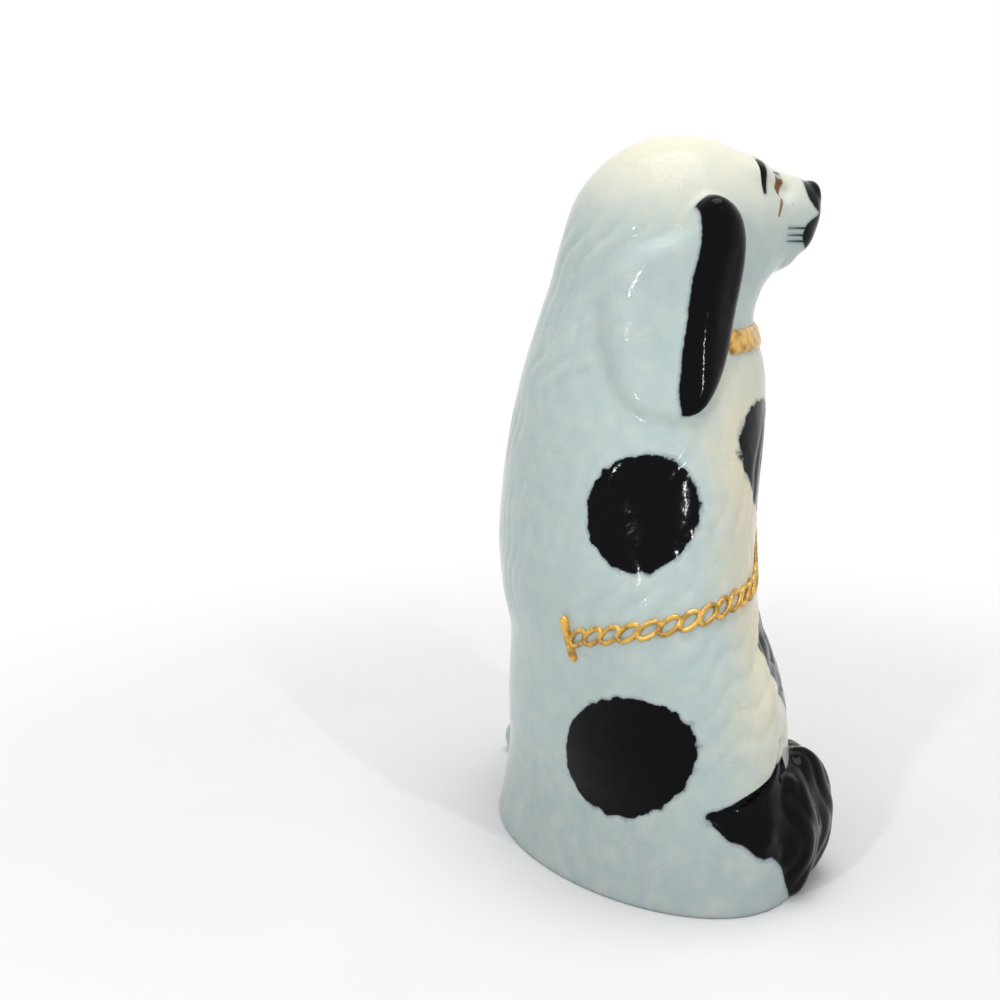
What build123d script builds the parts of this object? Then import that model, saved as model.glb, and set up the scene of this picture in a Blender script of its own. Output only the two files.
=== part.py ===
from build123d import *
import math
import os

# Seated mantel spaniel in hollow, glazed earthenware. The body sits in profile with
# its chest towards +X and its spine towards -X, and the head is turned square to it,
# to face the display side, -Y. All sizes are in millimetres and the foot stands on z = 0.

# Casting
wall = 5.0
parting_y = 17.0
slab_thickness = 7.0
vent_diameter = 12.0
vent_x = -19.0
cavity_top = 288.0

# Body outline, level by level: height, spine end, chest end, display side, back side, and the
# angle that the lowest levels are turned through, because the foot is set askew under the body
foot = (0.0, -104.8, 64.0, -39.0, 72.0, 11.0)
skirt = (14.0, -105.2, 65.2, -38.8, 72.0, 11.0)
rump = (32.0, -105.0, 67.2, -37.0, 69.6, 10.0)
thigh = (60.0, -103.6, 70.0, -34.0, 68.6, 7.0)
waist = (90.0, -99.6, 73.8, -30.2, 67.6, 2.5)
loin = (108.0, -95.0, 76.6, -28.6, 72.6)
flank = (132.0, -86.0, 79.0, -28.6, 73.4)
breast = (160.0, -73.0, 80.0, -34.5, 69.6)
shoulder = (185.0, -60.0, 77.0, -40.5, 65.1)
withers = (208.0, -47.0, 71.0, -43.5, 59.1)
throat = (230.0, -36.0, 65.0, -41.5, 51.5)
jaw = (250.0, -29.5, 59.5, -46.5, 45.0)
cheek = (268.0, -25.5, 55.9, -49.0, 38.3)
temple = (283.0, -19.0, 49.4, -44.5, 30.5)
brow = (295.0, -9.4, 39.8, -35.0, 20.0)
crown = (302.3, 2.0, 28.4, -22.0, 7.5)
crown_top = (305.0, 11.2, 19.2, -11.5, -3.0)
body_levels = [
    foot,
    skirt,
    rump,
    thigh,
    waist,
    loin,
    flank,
    breast,
    shoulder,
    withers,
    throat,
    jaw,
    cheek,
    temple,
    brow,
    crown,
    crown_top,
]

# Muzzle, section by section towards the nose: y, middle height, half width, half height
head_x = 15.2
muzzle_sections = [
    (-18.0, 268.0, 33.0, 26.0),
    (-37.0, 268.0, 28.0, 25.5),
    (-49.0, 268.4, 21.5, 22.6),
    (-61.0, 270.0, 17.0, 17.4),
    (-68.0, 272.0, 14.0, 12.6),
    (-72.0, 273.2, 9.5, 7.6),
    (-74.0, 273.6, 3.5, 3.0),
]
eye_diameter = 12.4
eye_spacing = 31.0
eye_y = -40.0
eye_z = 286.0

# Brows over the eyes, and the flews that hang at the sides of the mouth
brow_aside = 14.0
brow_y = -34.5
brow_z = 290.5
brow_half_length = 12.0
brow_radius = 6.8
flew_aside = 8.2
flew_y = -57.0
flew_z = 263.0
flew_half_length = 11.2
flew_radius = 9.4

# Thigh and the muscle behind it: the middle and the half sizes of each in x, y and z, and the
# shares of its depth at which it has a section
haunch = ((-36.0, -9.0, 66.0), (48.0, 25.5, 44.0))
haunch_muscle = ((-66.0, -8.0, 68.0), (31.0, 15.5, 36.0))
haunch_shares = (0.0, 0.4, 0.7, 0.9, 0.985)

# Hind paw below the thigh, level by level as the body is
hind_paw_levels = [
    (0.0, -22.0, 44.0, -56.0, -22.0),
    (8.0, -22.0, 44.5, -57.0, -22.0),
    (17.0, -20.0, 40.0, -54.0, -24.0),
    (24.0, -12.0, 28.0, -46.0, -30.0),
]

# Tail, from its root round the corner of the foot: x, y, height, half thickness, half height
tail_sections = [
    (-102.6, 15.0, 42.5, 2.0, 2.5),
    (-98.0, -3.0, 35.5, 7.5, 13.0),
    (-87.0, -22.5, 24.5, 11.0, 25.5),
    (-70.0, -35.0, 27.0, 13.5, 27.5),
    (-50.0, -39.0, 24.0, 12.0, 26.0),
    (-31.0, -39.0, 27.0, 7.0, 16.0),
]

# Forelegs, from the paw up into the shoulder, the left one mirrored across a plane between them
foreleg_mirror_y = 3.5
right_foreleg_levels = [
    (0.0, 60.0, 103.5, -40.5, -9.5),
    (9.0, 58.8, 104.4, -41.0, -9.0),
    (19.0, 59.5, 96.0, -37.5, -11.0),
    (30.0, 58.0, 86.5, -35.5, -11.5),
    (70.0, 57.0, 85.0, -35.5, -8.0),
    (88.0, 52.0, 86.5, -37.5, -4.0),
    (112.0, 41.5, 76.0, -30.5, 2.0),
    (140.0, 38.0, 58.0, -14.0, 4.0),
]
left_foreleg_levels = [
    (height, heel, toe, 2 * foreleg_mirror_y - inner, 2 * foreleg_mirror_y - outer)
    for height, heel, toe, outer, inner in right_foreleg_levels
]
toe_gaps = 3
toe_pitch = 8.4
toe_groove_radius = 1.8
toe_slope = 52.0

# Ears
ear_thickness = 8.0
ear_outline = [
    (-7.0, 281.0),
    (-19.0, 270.0),
    (-20.0, 250.0),
    (-12.5, 218.0),
    (4.0, 197.0),
    (22.0, 194.0),
    (34.5, 205.0),
    (34.5, 230.0),
    (23.0, 252.0),
    (5.0, 265.0),
]

# Collar and padlock
collar_height = 9.0
collar_z = 221.0
collar_thickness = 2.2
padlock_angle = -77.0
padlock_width = 15.0
padlock_body = 13.0
padlock_relief = 4.0
padlock_corner = 3.2
padlock_edge = 1.2

# Chain, from the padlock across the display side and round the spine to its end bar
chain_start_angle = -84.0
chain_end_angle = -216.0
chain_start_z = 201.0
chain_level_z = 125.0
chain_end_z = 107.0
chain_level_share = 0.624
chain_fall = 2.2
chain_droop = 1.3
chain_axis_x = 2.0
chain_axis_y = 18.0
link_pitch = 8.2
link_length = 12.0
link_width = 6.4
link_bar = 1.7
link_relief = 1.7
link_twist = 24.0
bar_length = 19.0
bar_width = 3.6
bar_relief = 2.6
sink = 2.5


def oval(height, spine, chest, display, back, turn=0.0, growth=0.0):
    """A level of the outline: the turned oval inside its four extents, grown outward."""
    length = (chest - spine) / 2 + growth
    depth = (back - display) / 2 + growth
    cosine = math.cos(math.radians(turn)) ** 2
    sine = 1 - cosine
    long_half = math.sqrt((length**2 * cosine - depth**2 * sine) / (cosine - sine))
    short_half = math.sqrt((depth**2 * cosine - length**2 * sine) / (cosine - sine))
    with BuildSketch(Plane.XY.offset(height)) as section:
        with Locations(((spine + chest) / 2, (display + back) / 2)):
            Ellipse(short_half, long_half, rotation=turn + 90)
    return section.sketch


def ovals(levels, growth=0.0):
    """The sections of a skin, from the lowest level up."""
    return [oval(*level, growth=growth) for level in levels]


def lump(place, half_length, radius):
    """An egg of clay, long in a plane's x direction."""
    with BuildSketch(place) as half:
        Ellipse(half_length, radius)
        split(bisect_by=Plane.XZ, keep=Keep.TOP)
    revolve(half.sketch, Axis(place.origin, place.x_dir))


def bulge(middle, half_sizes):
    """The display-side half of a rounded form, from its middle out."""
    sections = []
    for share in haunch_shares:
        narrowing = math.sqrt(1 - share**2)
        with BuildSketch(Plane.XZ.offset(share * half_sizes[1] - middle[1])) as section:
            with Locations((middle[0], middle[2])):
                Ellipse(half_sizes[0] * narrowing, half_sizes[2] * narrowing)
        sections.append(section.sketch)
    loft(sections)


# Outside of the figure: trunk and skull, muzzle, face, thigh and hind paw
with BuildPart() as trunk:
    loft(ovals(body_levels))

with BuildPart() as body:
    add(trunk.part)
    for y, middle, half_width, half_height in muzzle_sections:
        with BuildSketch(Plane.XZ.offset(-y)):
            with Locations((head_x, middle)):
                Ellipse(half_width, half_height)
    loft()
    for side in (-1, 1):
        with Locations((head_x + side * eye_spacing / 2, eye_y, eye_z)):
            Sphere(eye_diameter / 2)
        lump(Plane((head_x + side * brow_aside, brow_y, brow_z)), brow_half_length, brow_radius)
        flew_place = Plane((head_x + side * flew_aside, flew_y, flew_z), x_dir=(0, 1, 0))
        lump(flew_place, flew_half_length, flew_radius)
    bulge(*haunch)
    bulge(*haunch_muscle)
    loft(ovals(hind_paw_levels))

# Inside of the casting, open at the foot
cavity_levels = [level for level in body_levels if level[0] < cavity_top]
with BuildPart() as cavity:
    loft(ovals(cavity_levels, -wall))

# The two halves that come from the mould, luted together along the parting plane
parting = Plane.XZ.offset(-parting_y)
with BuildPart() as display_half:
    add(body.part)
    add(cavity.part, mode=Mode.SUBTRACT)
    split(bisect_by=parting, keep=Keep.TOP)
display_half.part.label = "display_half"

with BuildPart() as back_half:
    add(body.part)
    add(cavity.part, mode=Mode.SUBTRACT)
    split(bisect_by=parting, keep=Keep.BOTTOM)
back_half.part.label = "back_half"

# Slab that closes the foot, with the hole that lets the kiln's hot air out
slab_span = foot[2] - foot[1]
with BuildPart() as base_slab:
    with Locations(((foot[1] + foot[2]) / 2, parting_y, 0)):
        Box(slab_span, slab_span, slab_thickness, align=(Align.CENTER, Align.CENTER, Align.MIN))
    add(cavity.part, mode=Mode.INTERSECT)
    with Locations((vent_x, parting_y, 0)):
        Cylinder(vent_diameter / 2, 3 * slab_thickness, mode=Mode.SUBTRACT)
base_slab.part.label = "base_slab"


def foreleg(levels):
    """A leg with its toes, cut to seat on the body."""
    loft(ovals(levels))
    paw = levels[1]
    toe_end = paw[2]
    middle = (paw[3] + paw[4]) / 2
    for gap in range(toe_gaps):
        across = middle + (gap - (toe_gaps - 1) / 2) * toe_pitch
        with Locations(Location((toe_end, across, paw[0]), (0, -toe_slope, 0))):
            Cylinder(toe_groove_radius, 8 * toe_groove_radius + paw[0], mode=Mode.SUBTRACT)
    add(body.part, mode=Mode.SUBTRACT)


with BuildPart() as right_foreleg:
    foreleg(right_foreleg_levels)
right_foreleg.part.label = "right_foreleg"

with BuildPart() as left_foreleg:
    foreleg(left_foreleg_levels)
left_foreleg.part.label = "left_foreleg"

# Tail: a plume that lies round the corner of the foot and rises along the thigh
with BuildPart() as tail:
    for index, (x, y, height, half_thickness, half_height) in enumerate(tail_sections):
        before = tail_sections[max(index - 1, 0)]
        after = tail_sections[min(index + 1, len(tail_sections) - 1)]
        along = Vector(after[0] - before[0], after[1] - before[1], 0)
        across = Vector(along.Y, -along.X, 0)
        with BuildSketch(Plane(origin=(x, y, height), x_dir=across, z_dir=along)):
            Ellipse(half_thickness, half_height)
    loft()
    split(bisect_by=Plane.XY, keep=Keep.TOP)
    add(body.part, mode=Mode.SUBTRACT)
tail.part.label = "tail"

# Ears: flaps of even thickness that follow the side of the head and the neck
with BuildPart() as ear_layer:
    loft(ovals(body_levels, ear_thickness))

with BuildPart() as ear_pair:
    with BuildSketch(Plane.YZ):
        with BuildLine():
            Spline(*ear_outline, periodic=True)
        make_face()
    extrude(amount=2 * crown_top[0], both=True)
    add(ear_layer.part, mode=Mode.INTERSECT)
    add(body.part, mode=Mode.SUBTRACT)

with BuildPart() as right_ear:
    add(ear_pair.part)
    split(bisect_by=Plane.YZ.offset(head_x), keep=Keep.BOTTOM)
right_ear.part.label = "right_ear"

with BuildPart() as left_ear:
    add(ear_pair.part)
    split(bisect_by=Plane.YZ.offset(head_x), keep=Keep.TOP)
left_ear.part.label = "left_ear"

# Collar: a raised band across the throat, from ear to ear
with BuildPart() as collar_layer:
    loft(ovals(body_levels, collar_thickness))

with BuildPart() as collar:
    with Locations((head_x, 0, collar_z)):
        Box(crown_top[0], crown_top[0], collar_height, align=(Align.CENTER, Align.MAX, Align.CENTER))
    add(collar_layer.part, mode=Mode.INTERSECT)
    add(body.part, mode=Mode.SUBTRACT)
    add(ear_pair.part, mode=Mode.SUBTRACT)
    collar_pieces = collar.solids().sort_by(Axis.Y)
collar_front = collar_pieces[0]

with BuildPart() as collar_band:
    add(collar_front)
collar_band.part.label = "collar"


def on_skin(angle, height):
    """The point of the trunk at an angle round its axis, and the outward direction there."""
    outward = Vector(math.cos(math.radians(angle)), math.sin(math.radians(angle)), 0)
    axis = Axis((chain_axis_x, chain_axis_y, height), outward)
    hits = trunk.part.find_intersection_points(axis)
    point, normal = max(hits, key=lambda hit: (hit[0] - axis.position).dot(outward))
    if normal.dot(outward) < 0:
        normal = -normal
    return point, normal


def chain_height(share):
    """The chain falls from the padlock, levels off at the spine and droops to its end."""
    before = max(1 - share / chain_level_share, 0)
    beyond = max(share - chain_level_share, 0) / (1 - chain_level_share)
    fall = (chain_start_z - chain_level_z) * before**chain_fall
    droop = (chain_level_z - chain_end_z) * beyond**chain_droop
    return chain_level_z + fall - droop


def chain_place(share):
    """A plane on the chain's line: x along the chain, z out of the skin."""
    step = 0.004
    angle = chain_start_angle + (chain_end_angle - chain_start_angle) * share
    turn = (chain_end_angle - chain_start_angle) * step
    point, normal = on_skin(angle, chain_height(share))
    ahead, _ = on_skin(angle + turn, chain_height(share + step))
    return Plane(origin=point, x_dir=ahead - point, z_dir=normal)


def turned(place, angle):
    """A plane turned about its own outward direction."""
    turn = math.radians(angle)
    x_dir = place.x_dir * math.cos(turn) + place.y_dir * math.sin(turn)
    return Plane(origin=place.origin, x_dir=x_dir, z_dir=place.z_dir)


# Lengths along the chain's line, so that the links are evenly spaced
chain_samples = 60
chain_points = [chain_place(index / chain_samples).origin for index in range(chain_samples + 1)]
chain_run = [0.0]
for before, after in zip(chain_points, chain_points[1:]):
    chain_run.append(chain_run[-1] + (after - before).length)


def share_at(length):
    """The share of the chain's line at a length from its start."""
    index = max(i for i in range(chain_samples) if chain_run[i] <= length)
    part_way = (length - chain_run[index]) / (chain_run[index + 1] - chain_run[index])
    return (index + part_way) / chain_samples


# Padlock that hangs from the collar
padlock_z = collar_z - collar_height / 2 - padlock_body / 2
padlock_point, padlock_normal = on_skin(padlock_angle, padlock_z)
with BuildPart() as padlock:
    face = Plane(origin=padlock_point, x_dir=(1, 0, 0), z_dir=padlock_normal)
    with BuildSketch(face.offset(-sink)):
        RectangleRounded(padlock_width, padlock_body, padlock_corner)
    extrude(amount=sink + padlock_relief)
    fillet(padlock.faces().sort_by(Axis.Y).first.edges(), padlock_edge)
    add(trunk.part, mode=Mode.SUBTRACT)
    add(collar_band.part, mode=Mode.SUBTRACT)
padlock.part.label = "padlock"

# Chain: twisted oval links in low relief, each through the next, cut to seat on the skin
link_count = round((chain_run[-1] - link_length) / link_pitch) + 1
link_step = (chain_run[-1] - link_length) / (link_count - 1)
links = []
for index in range(link_count):
    place = chain_place(share_at(link_length / 2 + index * link_step))
    with BuildPart() as link:
        with BuildSketch(turned(place, link_twist).offset(-sink)):
            SlotOverall(link_length, link_width)
            SlotOverall(link_length - 2 * link_bar, link_width - 2 * link_bar, mode=Mode.SUBTRACT)
        extrude(amount=sink + link_relief)
        add(trunk.part, mode=Mode.SUBTRACT)
    links.append(link.part)

with BuildPart() as chain_links:
    add(links)
    add(padlock.part, mode=Mode.SUBTRACT)
chain_links.part.label = "chain_links"

# Bar that ends the chain
bar_place = chain_place(1)
with BuildPart() as chain_bar:
    with BuildSketch(turned(bar_place, 90).offset(-sink)):
        SlotOverall(bar_length, bar_width)
    extrude(amount=sink + bar_relief)
    add(trunk.part, mode=Mode.SUBTRACT)
    add(chain_links.part, mode=Mode.SUBTRACT)
chain_bar.part.label = "chain_bar"

os.makedirs("parts", exist_ok=True)
export_step(display_half.part, "parts/display_half.step")
export_step(back_half.part, "parts/back_half.step")
export_step(base_slab.part, "parts/base_slab.step")
export_step(right_foreleg.part, "parts/right_foreleg.step")
export_step(left_foreleg.part, "parts/left_foreleg.step")
export_step(tail.part, "parts/tail.step")
export_step(right_ear.part, "parts/right_ear.step")
export_step(left_ear.part, "parts/left_ear.step")
export_step(collar_band.part, "parts/collar.step")
export_step(padlock.part, "parts/padlock.step")
export_step(chain_links.part, "parts/chain_links.step")
export_step(chain_bar.part, "parts/chain_bar.step")
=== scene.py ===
import math
import bmesh
import bpy
import numpy as np
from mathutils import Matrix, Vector


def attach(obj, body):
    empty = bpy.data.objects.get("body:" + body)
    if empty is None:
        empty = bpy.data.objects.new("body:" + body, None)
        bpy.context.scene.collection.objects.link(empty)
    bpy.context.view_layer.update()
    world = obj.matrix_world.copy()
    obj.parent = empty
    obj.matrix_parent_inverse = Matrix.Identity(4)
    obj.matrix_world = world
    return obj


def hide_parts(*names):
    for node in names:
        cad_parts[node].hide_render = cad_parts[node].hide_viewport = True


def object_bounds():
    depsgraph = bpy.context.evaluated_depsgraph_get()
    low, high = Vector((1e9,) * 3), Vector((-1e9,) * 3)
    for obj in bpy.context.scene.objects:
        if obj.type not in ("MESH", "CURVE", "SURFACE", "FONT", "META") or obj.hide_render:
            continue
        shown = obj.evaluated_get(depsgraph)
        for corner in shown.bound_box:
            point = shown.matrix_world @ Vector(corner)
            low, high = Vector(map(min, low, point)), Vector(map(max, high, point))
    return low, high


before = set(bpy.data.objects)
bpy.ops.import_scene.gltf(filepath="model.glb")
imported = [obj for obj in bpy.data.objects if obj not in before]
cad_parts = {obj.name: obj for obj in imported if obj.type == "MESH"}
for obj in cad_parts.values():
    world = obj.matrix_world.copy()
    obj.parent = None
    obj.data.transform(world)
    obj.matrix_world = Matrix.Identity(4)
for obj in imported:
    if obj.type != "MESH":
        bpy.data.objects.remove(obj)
cad_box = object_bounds()

# Trunk and head
# The two halves of the figure are white earthenware, pressed into a mould and luted together
# along the seam. Each form below is a distance in millimetres, less than nothing inside it.


def soft_min(first, second, radius):
    """The two forms luted together, with a fillet of about this radius."""
    overlap = np.maximum(radius - np.abs(first - second), 0.0) / radius
    return np.minimum(first, second) - overlap * overlap * radius / 4


def soft_max(first, second, radius):
    """What the two forms share, with its edge rounded over."""
    return -soft_min(-first, -second, radius)


def oval(u, v, half_u, half_v):
    """Distance from an oval outline."""
    reach = np.sqrt((u / half_u) ** 2 + (v / half_v) ** 2)
    slope = np.sqrt((u / half_u**2) ** 2 + (v / half_v**2) ** 2)
    return reach * (reach - 1) / np.maximum(slope, 1e-6)


def turned_oval(u, v, half_u, half_v, turn):
    """An oval turned through an angle, which keeps its reach along both axes."""
    cosine = np.cos(turn)
    sine = np.sin(turn)
    narrowing = cosine**2 - sine**2
    long_half = np.sqrt((half_u**2 * cosine**2 - half_v**2 * sine**2) / narrowing)
    short_half = np.sqrt((half_v**2 * cosine**2 - half_u**2 * sine**2) / narrowing)
    return oval(u * cosine + v * sine, v * cosine - u * sine, long_half, short_half)


def ellipsoid(point, centre, radii):
    """Distance from an egg-shaped lump of clay."""
    parts = [p - c for p, c in zip(point, centre)]
    reach = np.sqrt(sum((d / r) ** 2 for d, r in zip(parts, radii)))
    slope = np.sqrt(sum((d / r**2) ** 2 for d, r in zip(parts, radii)))
    return reach * (reach - 1) / np.maximum(slope, 1e-6)


def limb(point, start, end, start_radius, end_radius):
    """Distance from a tapered roll of clay."""
    axis = [e - s for s, e in zip(start, end)]
    length = sum(a * a for a in axis)
    along = sum((p - s) * a for p, s, a in zip(point, start, axis)) / length
    along = np.clip(along, 0.0, 1.0)
    away = sum((p - s - along * a) ** 2 for p, s, a in zip(point, start, axis))
    return np.sqrt(away) - (start_radius + along * (end_radius - start_radius))


def rounded_table(rows, first, last, spread):
    """The columns of a table of sections, sampled each millimetre and rounded over."""
    table = np.array(rows)
    places = np.arange(first, last, 1.0)
    reach = np.arange(-3 * spread, 3 * spread + 1)
    weights = np.exp(-0.5 * (reach / spread) ** 2)
    weights /= weights.sum()
    columns = []
    for column in table.T[1:]:
        sampled = np.interp(places, table[:, 0], column)
        padded = np.pad(sampled, 3 * spread, mode="edge")
        columns.append(np.convolve(padded, weights, mode="valid"))
    return places, columns


# Height, spine end, chest end, display side, back side, turn of the section in degrees
trunk_levels = [
    (0, -104.8, 65.0, -39.0, 73.8, 14.5),
    (14, -105.1, 65.6, -38.8, 69.6, 13.5),
    (32, -105.0, 67.2, -37.0, 66.6, 12.0),
    (60, -103.6, 70.0, -34.0, 68.6, 7.0),
    (90, -99.6, 73.8, -30.2, 67.6, 2.5),
    (108, -95.0, 76.6, -28.6, 72.6, 0.0),
    (132, -86.0, 79.0, -28.6, 73.4, 0.0),
    (160, -73.0, 80.0, -34.5, 69.6, 0.0),
    (185, -60.0, 77.0, -40.5, 65.1, 0.0),
    (208, -47.0, 71.0, -43.5, 59.1, 0.0),
    (230, -36.0, 65.0, -35.5, 51.5, 0.0),
    (250, -29.5, 59.5, -34.0, 44.6, 0.0),
    (270, -22.0, 52.0, -32.0, 34.0, 0.0),
]
trunk_top = 272.0
trunk_heights, trunk_columns = rounded_table(trunk_levels, -30, 340, 6)

# Distance in front of the ears, middle height, half width, half height
head_x = 15.2
muzzle_levels = [
    (18, 268.0, 33.0, 26.0),
    (37, 268.0, 28.0, 25.5),
    (49, 268.4, 21.5, 22.6),
    (61, 270.0, 17.0, 17.4),
    (68, 272.0, 12.8, 12.6),
    (71, 273.0, 10.0, 9.6),
    (73, 273.6, 6.5, 6.5),
    (74.5, 273.6, 2.0, 2.0),
]
muzzle_tip = 73.0
muzzle_places, muzzle_columns = rounded_table(muzzle_levels, 0, 90, 2)


def trunk_wall(x, y, z, growth):
    """The side of the trunk at a height, grown outward or inward."""
    spine, chest, display, back, turn = [np.interp(z, trunk_heights, c) for c in trunk_columns]
    half_length = (chest - spine) / 2
    half_depth = (back - display) / 2
    across = x - spine - half_length
    deep = y - display - half_depth
    return turned_oval(across, deep, half_length + growth, half_depth + growth, np.radians(turn))


def trunk(point):
    """Breast, back and neck."""
    x, y, z = point
    return soft_max(trunk_wall(x, y, z, 0.0), z - trunk_top, 24.0)


def muzzle(point):
    """The nose, from the brow to its tip."""
    x, y, z = point
    middle, half_width, half_height = [np.interp(-y, muzzle_places, c) for c in muzzle_columns]
    side = oval(x - head_x, z - middle, half_width, half_height)
    return soft_max(soft_max(side, -y - muzzle_tip, 6.0), y + 18.0, 6.0)


def both_sides(point):
    """The point folded over to the spine side of the head."""
    x, y, z = point
    return (head_x - np.abs(x - head_x), y, z)


def skin(point):
    """Trunk, skull and muzzle: what the ears and the collar lie on."""
    skull = ellipsoid(point, (head_x, -7.0, 265.0), (40.5, 45.0, 40.0))
    form = soft_min(trunk(point), skull, 20.0)
    return soft_min(form, muzzle(point), 9.0)


# Middle, half sizes and fillet of each lump. Those at a side of the face are there twice.
brow = ((head_x - 14.0, -33.5, 289.0), (12.0, 8.0, 5.0), 8.0)
eye_socket = ((head_x - 17.0, -49.0, 283.5), (6.0, 4.6, 4.4), 6.0)
eyeball = ((head_x - 14.5, -40.2, 285.5), (6.4, 5.4, 5.8), 1.6)
flew = ((head_x - 8.0, -56.0, 263.0), (8.8, 10.8, 9.6), 4.0)
chin = ((head_x, -52.5, 252.5), (10.0, 8.5, 5.5), 5.0)
nose_pad = ((head_x, -69.3, 279.4), (8.4, 3.6, 6.0), 2.6)
haunch = ((-36.0, -9.0, 66.0), (48.0, 24.8, 42.5), 10.0)
haunch_muscle = ((-66.0, -8.0, 68.0), (31.0, 13.8, 36.0), 4.0)
hind_paw = ((12.0, -43.0, 8.5), (31.0, 13.5, 12.5), 5.0)
hind_toes = [((36.5, toe_y, 6.8), (9.5, 4.4, 7.4), 1.5) for toe_y in (-52.0, -45.5, -38.8, -32.0)]
# Distance to the back and height of the thigh's lower edge, over the root of the tail
thigh_edge = [(-15.5, 67.5), (-12.0, 62.0), (-7.5, 57.0), (-0.5, 53.0), (16.5, 43.5)]
fold_swell = 5.0
fold_y = -7.0
fold_z = 66.0
fold_spread_y = 13.0
fold_spread_z = 22.0
groove_depth = 3.2
groove_width = 2.6


def below_thigh(y, z):
    """Depth below the thigh's lower edge."""
    return np.interp(y, *zip(*thigh_edge)) - z


def at_spine(x, y):
    """One at the spine end under the thigh, fading to nothing round it."""
    inward = np.clip((-60.0 - x) / 12.0, 0.0, 1.0)
    return inward * np.clip((y + 23.0) / 9.0, 0.0, 1.0) * np.clip((20.0 - y) / 6.0, 0.0, 1.0)


def thigh_fold(point):
    """The loose skin of the thigh, which hangs over the root of the tail in a rounded step."""
    x, y, z = point
    across = (y - fold_y) / fold_spread_y
    rise = (z - fold_z) / fold_spread_z
    swell = fold_swell * np.exp(-(across**2) - rise**2)
    swell = swell * np.clip((-40.0 - x) / 20.0, 0.0, 1.0) * np.clip((y + 25.0) / 11.0, 0.0, 1.0)
    return soft_max(trunk(point) - swell, below_thigh(y, z), 3.0)


def tail_groove(point):
    """Depth of the hollow under the thigh, which the tail comes out of."""
    x, y, z = point
    from_middle = (below_thigh(y, z) - groove_width) / groove_width
    return groove_depth * np.exp(-(from_middle**2)) * at_spine(x, y)


def luted(form, point, lump):
    """The form with a lump of clay joined to it."""
    middle, half_sizes, fillet = lump
    return soft_min(form, ellipsoid(point, middle, half_sizes), fillet)


def hollowed(form, point, lump):
    """The form with the shape of a lump pressed out of it."""
    middle, half_sizes, fillet = lump
    return soft_max(form, -ellipsoid(point, middle, half_sizes), fillet)


def body(point):
    """Both halves of the mould, with the face, the thigh and the hind paw."""
    near = both_sides(point)
    form = luted(skin(point), near, brow)
    form = hollowed(form, near, eye_socket)
    for lump in (eyeball, flew):
        form = luted(form, near, lump)
    for lump in (chin, nose_pad, haunch, haunch_muscle):
        form = luted(form, point, lump)
    form = soft_min(form + tail_groove(point), thigh_fold(point), 0.8)
    for lump in [hind_paw] + hind_toes:
        form = luted(form, point, lump)
    return form


# Forelegs
# Two rolls of the same clay with a paw at the foot, made apart and luted under the breast.
# The one on the display side stands free of the body below the elbow.
leg_rolls = [
    ((50.0, 20.0, 132.0), (70.0, 8.0, 88.0), 17.0, 15.0),
    ((70.0, 8.0, 88.0), (73.5, 5.5, 30.0), 15.0, 12.4),
]
toe_spread = (-11.4, -3.8, 3.8, 11.4)


def foreleg(point, inner_y, turn, feather):
    """A foreleg whose paw is at a distance from the middle, with toes and a feathered heel."""
    x, y, z = point
    local = (x, (y - inner_y) * turn, z)
    form = limb(local, *leg_rolls[0])
    form = soft_min(form, limb(local, *leg_rolls[1]), 8.0)
    form = soft_min(form, ellipsoid(local, (81.0, 4.0, 9.0), (22.5, 16.0, 12.5)), 7.0)
    form = soft_min(form, ellipsoid(local, (66.0, feather, 44.0), (10.0, 9.0, 25.0)), 8.0)
    for toe in toe_spread:
        form = soft_min(form, ellipsoid(local, (95.0, 4.0 + toe, 7.2), (9.6, 4.7, 7.6)), 1.5)
    return form


def right_foreleg(point):
    """The leg on the display side."""
    return foreleg(point, -29.0, 1.0, 6.0)


def left_foreleg(point):
    """The leg on the back side."""
    return foreleg(point, 36.0, -1.0, -6.0)


# Ears
# Two flaps pressed over the sides of the head. Each hangs to the shoulder, with a rolled front
# edge that is enamelled black and a thinner white lappet behind it.
ear_corners = [
    (-7.5, 281.0),
    (-18.5, 273.0),
    (-20.8, 255.0),
    (-15.5, 231.0),
    (-4.5, 208.0),
    (9.5, 195.0),
    (24.0, 193.0),
    (36.5, 200.0),
    (40.3, 219.0),
    (36.5, 243.0),
    (25.0, 258.5),
    (9.0, 265.5),
    (2.0, 276.0),
]


def rounded_loop(corners, steps):
    """A closed curve that passes through its corners, as a list of short runs."""
    spots = []
    count = len(corners)
    for index in range(count):
        four = [np.array(corners[(index + n) % count]) for n in (-1, 0, 1, 2)]
        before, here, after, beyond = four
        for share in np.arange(steps) / steps:
            bend = (2 * before - 5 * here + 4 * after - beyond) * share**2
            twist = (3 * here - before - 3 * after + beyond) * share**3
            spots.append(tuple((2 * here + (after - before) * share + bend + twist) / 2))
    return spots


ear_points = rounded_loop(ear_corners, 7)
ear_thickness = 7.0
ear_roll = 3.2
ear_taper = 3.6
# Height and distance to the back of the black stripe's rear edge
stripe_edge = [
    (185.0, 15.0),
    (202.0, 16.5),
    (217.0, 13.4),
    (232.0, 9.3),
    (247.0, 6.2),
    (263.0, 1.6),
    (290.0, 1.6),
]


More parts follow.
